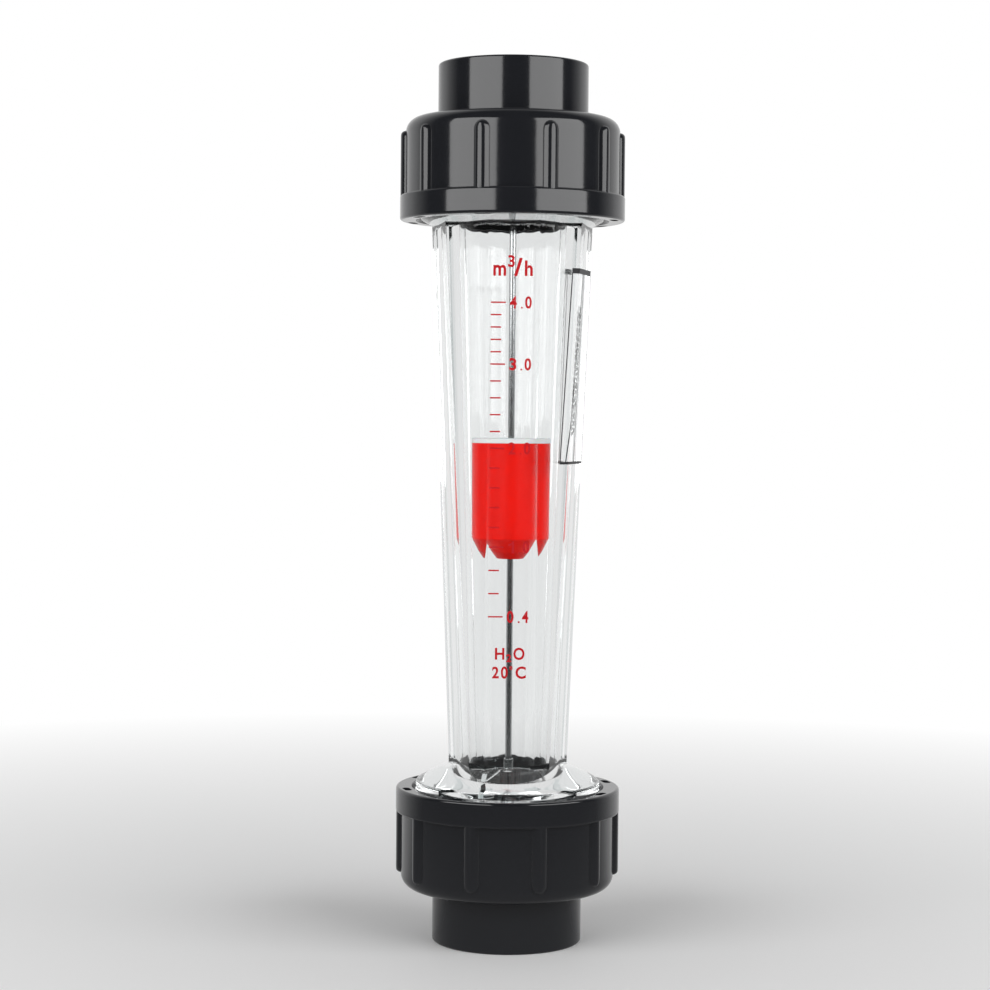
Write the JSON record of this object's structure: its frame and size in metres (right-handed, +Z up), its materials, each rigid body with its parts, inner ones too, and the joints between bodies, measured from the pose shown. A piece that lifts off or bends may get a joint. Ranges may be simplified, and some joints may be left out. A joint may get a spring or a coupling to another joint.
{
  "type": "rotameter",
  "caption": "In-line variable-area flow meter: clear faceted tapered tube, guided red float on a steel rod, black union nuts and pipe sockets.",
  "frame": {"origin": "centre of the lower pipe socket's end face, on which the meter stands", "axes": "+Z up along the flow axis, the printed scale faces -Y, the side label is towards +X"},
  "size_m": [0.075, 0.075, 0.293],
  "materials": {
    "black_plastic": "gloss moulded, lightly draw-polished",
    "clear_tube": "clear polished acrylic",
    "seal_rubber": "matt moulded rubber",
    "rod_steel": "drawn and ground stainless",
    "float_red": "gloss moulded",
    "float_white": "natural translucent moulded",
    "weight_steel": "turned stainless",
    "label_film": "clear film with a black ruled frame",
    "scale_ink": "printed ink"
  },
  "bodies": {
    "inlet_end": {"lower_end_connector": "black_plastic", "lower_seal_ring": "seal_rubber"},
    "lower_nut": {"lower_union_nut": "black_plastic"},
    "tube": {"measuring_tube": "clear_tube", "guide_rod": "rod_steel", "upper_rod_holder": "black_plastic", "side_label": "label_film"},
    "float": {"float_body": "float_red", "float_weight": "weight_steel", "float_cap": "float_white", "float_guide_sleeve": "float_white"},
    "outlet_end": {"upper_end_connector": "black_plastic", "upper_seal_ring": "seal_rubber"},
    "upper_nut": {"upper_union_nut": "black_plastic"}
  },
  "joints": [
    {"name": "lower_nut_turn", "type": "hinge", "parent": "inlet_end", "child": "lower_nut", "pos_m": [0, 0, 0.034], "axis": [0, 0, -1], "range_deg": [0, 1620]},
    {"name": "tube_lift", "type": "slide", "parent": "inlet_end", "child": "tube", "axis": [0, 0, 1], "range_m": [0, 0.018]},
    {"name": "float_slide", "type": "slide", "parent": "tube", "child": "float", "axis": [0, 0, 1], "range_m": [-0.0672, 0.071]},
    {"name": "outlet_lift", "type": "slide", "parent": "tube", "child": "outlet_end", "axis": [0, 0, 1], "range_m": [0, 0.018]},
    {"name": "upper_nut_turn", "type": "hinge", "parent": "outlet_end", "child": "upper_nut", "pos_m": [0, 0, 0.259], "axis": [0, 0, 1], "range_deg": [0, 1620]}
  ],
  "couplings": [
    {"joint": "lower_nut_turn", "follows": "tube_lift", "rad_per_m": 1570.8},
    {"joint": "upper_nut_turn", "follows": "outlet_lift", "rad_per_m": 1570.8}
  ]
}
